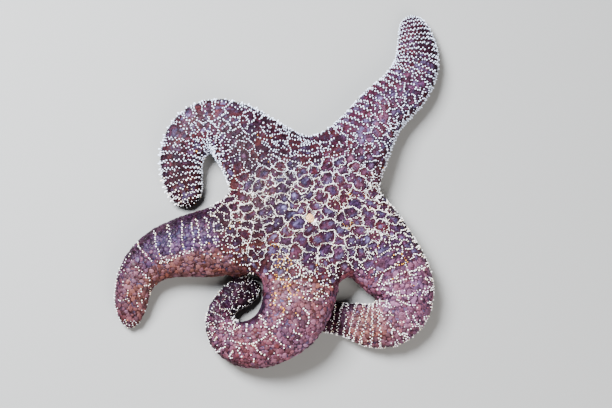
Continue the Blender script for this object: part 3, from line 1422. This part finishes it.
def growPebbles():
    f, plan = skinFields, softPlan
    arm, start, end, lean = plan["smoothLip"]
    smooth = (f["which"] == armNames.index(arm)) & (f["lean"] < lean) & (f["s"] > start) & (f["s"] < end)
    bare = ((f["covered"] < 0.5) | sparsely(f)) & ~smooth
    bare &= (np.abs(f["lean"]) < 1.35) & (skinNormals[:, 2] > -0.5)
    for name, kind, sides in (("pebbles", "pebble", 9), ("grains", "grain", 6)):
        rows, roots = softRoots(bare, plan[kind + "Room"])
        tone = groundTone(f["which"][rows], f["s"][rows], f["lean"][rows])
        fields = chance.uniform(0, 1, f["cell"].max() + 1)[f["cell"][rows]]
        tone = varied(tone, fields, plan["fieldVariety"])
        tone = varied(tone, chance.uniform(0, 1, len(rows)), plan["pebbleVariety"])
        pale = smoothStep(0.01, 0.035, tone.mean(1))[:, None]
        mix = chance.uniform(0, 0.7, (len(rows), 1)) ** 3 * pale
        tone = mixed(tone, toneOf("blush"), mix) * chance.uniform(*plan["brightness"], (len(rows), 1))
        size, height = plan[kind + "Size"], plan[kind + "Height"]
        growSoft(name, roots, tone, size, height, pebbleProfile, sides, 0.85, 0.14)


growGills()
growPebbles()


# The sieve plate, a low button crossed by winding furrows
sievePlan = {
    "length": 2.75,
    "width": 2.3,
    "turn": -62,
    "furrows": 5.2,  # per half of its length
    "furrowDepth": 0.16,
    "furrowTurn": 1.5,
    "dome": 0.75,  # how far the rim lies below the middle
    "lower": 0.15,
    "rings": 26,
    "sides": 64,
    "sink": 1.0,
    "mapWidth": 12,
}


def growSieve():
    plan, sides = sievePlan, sievePlan["sides"]
    low, high = (np.array(tuple(corner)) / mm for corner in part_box("sieve_plate"))
    middle, top = (low[:2] + high[:2]) / 2, high[2] - plan["lower"]
    out = np.linspace(1, 0.03, plan["rings"])[:, None]
    angle = np.arange(sides)[None, :] / sides * 2 * math.pi
    x, y = out * np.cos(angle), out * np.sin(angle)
    swirl = x * 2.1 + np.sin(y * 3.3 + 0.6) * 0.5 + np.sin(x * 5 + y * 4) * 0.16
    furrow = np.sin(swirl * plan["furrows"] * plan["furrowTurn"] + y * 1.2) * (1 - out ** 6)
    edge = 1 + 0.05 * np.sin(angle * 3 + 1) + 0.04 * np.sin(angle * 5)
    level = top - plan["dome"] * out ** 2.6 + furrow * plan["furrowDepth"] - plan["furrowDepth"]
    turn = math.radians(plan["turn"])
    u, v = x * plan["length"] * edge, y * plan["width"] * edge
    points = np.stack([
        middle[0] + u * math.cos(turn) - v * math.sin(turn),
        middle[1] + u * math.sin(turn) + v * math.cos(turn), level,
    ], -1)
    skirt = points[:1] * [1, 1, 0] + [0, 0, level[0].min() - plan["sink"]]
    points = np.concatenate([skirt, points]).reshape(-1, 3)
    points = np.vstack([points, [*middle, level[-1].mean()]])
    quads, fan = ringFaces(plan["rings"] + 1, sides)
    piece = writeMesh("sieve", points, quads, fan)
    share = np.concatenate([np.zeros(sides), ((furrow + 1) / 2).ravel(), [0.5]])[:, None]
    paintPoints(piece, mixed(toneOf("brown") * 2.2, toneOf("peach"), share))
    mapPoints(piece, (points[:, :2] - middle) / plan["mapWidth"] + 0.5, quads, fan)
    piece.data.materials.append(spineMaterial)
    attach(piece, "root")
    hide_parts("sieve_plate")


growSieve()


# The underside: tube feet in the grooves, spines along them and round the mouth
underPlan = {
    "grooveShare": 0.2,
    "footRows": (-0.68, -0.24, 0.24, 0.68),  # as shares of the groove's half width
    "footSpacing": 2.4,
    "footRadius": 0.62,
    "longestFoot": 7,
    "edgeSpacing": 1.5,
    "oralRoom": 3.3,
    "mouthRings": (4.2, 6.4),
    "mouthSpines": 30,  # in each ring
    "mouthSpineLength": 3.2,
    "mouthSpineSize": 0.55,
    "leastFoot": 0.8,
    "floorGap": (0.35, 0.4),  # left free under the feet and under the spines of the mouth
    "edgeShares": (-1.3, 1.3),
}
footProfile = [(-0.1, 1.1), (0.12, 0.8), (0.45, 0.62), (0.82, 0.6), (0.9, 1.05), (0.97, 1.0), (1.0, 0)]
oralProfile = [(-0.5, 0.8), (0.2, 0.9), (0.75, 0.85), (1.0, 0)]


def alongGroove(arm, share, spacing, start, short):
    s = np.arange(start, arm["length"] - short, spacing)
    s = s + chance.normal(0, 0.15, len(s))
    x, y, way, left, right = atStation(arm, s, "x", "y", "way", "left", "right")
    side = (left + right) / 2 * underPlan["grooveShare"] * share
    return np.stack([x - np.sin(way) * side, y + np.cos(way) * side], 1)


def growUnder(name, roots, axis, size, height, profile, sides, tones, material):
    number = len(roots)
    tone = mixed(toneOf(tones[0]), toneOf(tones[1]), chance.random((number, 1)))
    growBatch(name, {
        "root": roots[:, :3], "axis": axis, "along": np.tile([1.0, 0.3, 0], (number, 1)),
        "face": roots[:, 6], "length": size, "width": size, "height": height, "rough": 0.05,
        "rootTone": tone * 0.75, "tipTone": tone,
    }, profile, sides, material)


def grooveRoots(shares, spacing, start, short):
    rows = [alongGroove(arm, share, spacing, start, short) for arm in arms for share in shares]
    return rootsFromBelow(np.vstack(rows))


def growFeet():
    plan = underPlan
    roots = grooveRoots(plan["footRows"], plan["footSpacing"], 9, 9)
    height = np.minimum(roots[:, 2] - plan["floorGap"][0], plan["longestFoot"])
    height = height * chance.uniform(0.8, 1, len(roots))
    long = height > plan["leastFoot"]
    roots, height = roots[long], height[long]
    axis = np.array([0, 0, -1.0]) + chance.normal(0, 0.05, (len(roots), 3)) * [1, 1, 0]
    size = plan["footRadius"] * chance.uniform(0.85, 1.15, len(roots))
    tones = ("foot", "cream")
    growUnder("tubeFeet", roots, axis, size, height, footProfile, 8, tones, footMaterial)


def growMouth():
    # rings of spines that lean in over the mouth
    plan, tones = underPlan, ("bone", "foot")
    turns = np.arange(plan["mouthSpines"]) / plan["mouthSpines"] * 2 * math.pi
    ring = np.stack([np.cos(turns), np.sin(turns)], 1)
    ring = np.concatenate([ring * out for out in plan["mouthRings"]])
    ring = rootsFromBelow(mouth + ring * chance.normal(1, 0.05, (len(ring), 1)))
    inward = np.column_stack([mouth - ring[:, :2], np.zeros(len(ring))])
    axis = np.array([0, 0, -1.0]) + inward / np.array(plan["mouthRings"]).mean() * 0.55
    size = np.full(len(ring), plan["mouthSpineSize"])
    height = np.clip(ring[:, 2] - plan["floorGap"][1], 0.6, plan["mouthSpineLength"])
    growUnder("mouthSpines", ring, axis, size, height, oralProfile, 8, tones, spineMaterial)


def growUnderSpines(edges):
    # low spines along the grooves and all over the rest of the underside
    strewn = (np.abs(skinFields["lean"]) > 1.3) & (skinNormals[:, 2] < -0.7)
    roots = np.vstack([edges, softRoots(strewn, underPlan["oralRoom"])[1]])
    roots = roots[thinOut(roots[:, :3], np.full(len(roots), 1.1))]
    axis = roots[:, 3:6] + chance.normal(0, 0.15, (len(roots), 3))
    size, height = chance.uniform(0.32, 0.5, len(roots)), chance.uniform(0.45, 0.62, len(roots))
    tones = ("bone", "foot")
    growUnder("underSpines", roots, axis, size, height, oralProfile, 6, tones, spineMaterial)


footMaterial = toneMaterial("softFoot", skinLook)
growFeet()
groove = grooveRoots(underPlan["edgeShares"], underPlan["edgeSpacing"], 8, 5)
growMouth()
growUnderSpines(groove)


# The floor, the light and the camera
stageLook = {
    "floorSize": 3, "floorTone": (0.2, 0.2, 0.198), "floorRoughness": 0.7,
    "worldLight": 0.14, "worldTint": (0.95, 0.97, 1),
    "keyPower": 118, "keySize": 0.6, "keyPlace": (-0.6, 0.45, 1.0), "keyTint": (0.94, 0.97, 1),
    "fillPower": 30, "fillSize": 0.8, "fillPlace": (0.55, -0.85, 0.75), "fillTint": (1, 0.96, 0.91),
}
cameraPlan = {
    "elevation": 72, "lens": 85, "sensor": 36, "imageWidth": 612, "pixelSize": 0.62,
    "target": (2.46, 4.21, 10),  # from the mouth
}


def setStage():
    size = stageLook["floorSize"] / 2
    corners = np.array([(-size, -size, 0), (size, -size, 0), (size, size, 0), (-size, size, 0)]) / mm
    floor = writeMesh("floor", corners, np.array([[0, 1, 2, 3]]))
    material, _, _, shader = newMaterial("paleFloor")
    shader.inputs["Base Color"].default_value = (*stageLook["floorTone"], 1)
    shader.inputs["Roughness"].default_value = stageLook["floorRoughness"]
    floor.data.materials.append(material)
    world = bpy.data.worlds.new("softSky")
    world.use_nodes = True
    sky = world.node_tree.nodes["Background"].inputs
    sky["Color"].default_value = (*stageLook["worldTint"], 1)
    sky["Strength"].default_value = stageLook["worldLight"]
    bpy.context.scene.world = world
    for name in ("key", "fill"):
        light = bpy.data.lights.new(name, "AREA")
        light.energy = stageLook[name + "Power"]
        light.size = stageLook[name + "Size"]
        light.color = stageLook[name + "Tint"]
        lamp = bpy.data.objects.new(name, light)
        place = Vector(stageLook[name + "Place"])
        lamp.location = place
        lamp.rotation_euler = (-place).to_track_quat("-Z", "Y").to_euler()
        bpy.context.scene.collection.objects.link(lamp)


def setCamera():
    plan = cameraPlan
    data = bpy.data.cameras.new("camera")
    data.lens, data.sensor_width = plan["lens"], plan["sensor"]
    data.clip_start, data.clip_end = 0.01, 20
    target = Vector((mouth[0], mouth[1], 0)) + Vector(plan["target"])
    distance = plan["imageWidth"] * plan["pixelSize"] * plan["lens"] / plan["sensor"]
    tilt = math.radians(plan["elevation"])
    back = Vector((0, -math.cos(tilt), math.sin(tilt)))
    camera = bpy.data.objects.new("camera", data)
    camera.location = (target + back * distance) * mm
    camera.rotation_euler = (-back).to_track_quat("-Z", "Y").to_euler()
    bpy.context.scene.collection.objects.link(camera)
    bpy.context.scene.camera = camera


setStage()
setCamera()
